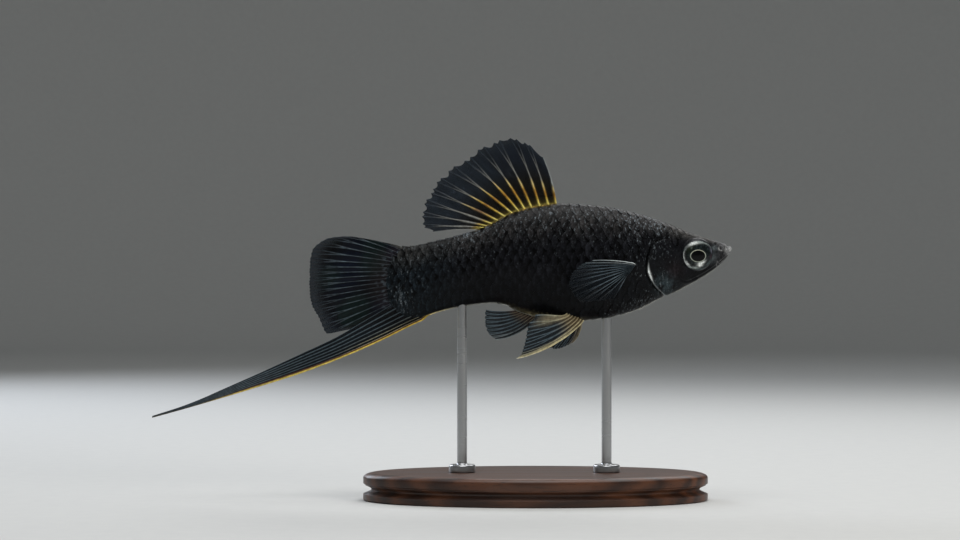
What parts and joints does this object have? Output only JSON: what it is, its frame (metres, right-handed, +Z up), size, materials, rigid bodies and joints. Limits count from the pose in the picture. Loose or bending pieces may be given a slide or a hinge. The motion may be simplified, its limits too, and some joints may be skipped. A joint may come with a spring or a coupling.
{
  "type": "black swordtail fish",
  "caption": "Male black swordtail held on a display stand, with a tall dorsal fin, a rounded tail fin drawn out into a long sword, and paired, anal and pelvic fins spread",
  "frame": {"origin": "On the table, below the middle of the length from snout to sword tip and of the thickness at the snout", "axes": "+X is the way the fish looks, +Y its left side, +Z up"},
  "size_m": [0.1048, 0.034, 0.0653],
  "materials": {
    "skin": "near-black scaled skin with a wet sheen",
    "gill_cover": "near-black, a little silvery at its edge",
    "fin": "smoky blue-grey fin membrane with raised rays",
    "eye": "wet silver eye",
    "stand_base": "dark oiled wood",
    "stand_rod": "brushed rod"
  },
  "bodies": {
    "root": {"head": "skin", "lower_jaw": "skin", "gill_cover_right": "gill_cover", "gill_cover_left": "gill_cover", "eye_right": "eye", "eye_left": "eye", "trunk": "skin", "tail_stalk": "skin", "dorsal_fin": "fin", "tail_fin": "fin", "sword": "fin", "anal_fin": "fin", "pelvic_fin_right": "fin", "pelvic_fin_left": "fin", "pectoral_fin_right": "fin", "pectoral_fin_left": "fin", "stand_base": "stand_base", "stand_rod_front": "stand_rod", "stand_rod_rear": "stand_rod"}
  },
  "joints": []
}
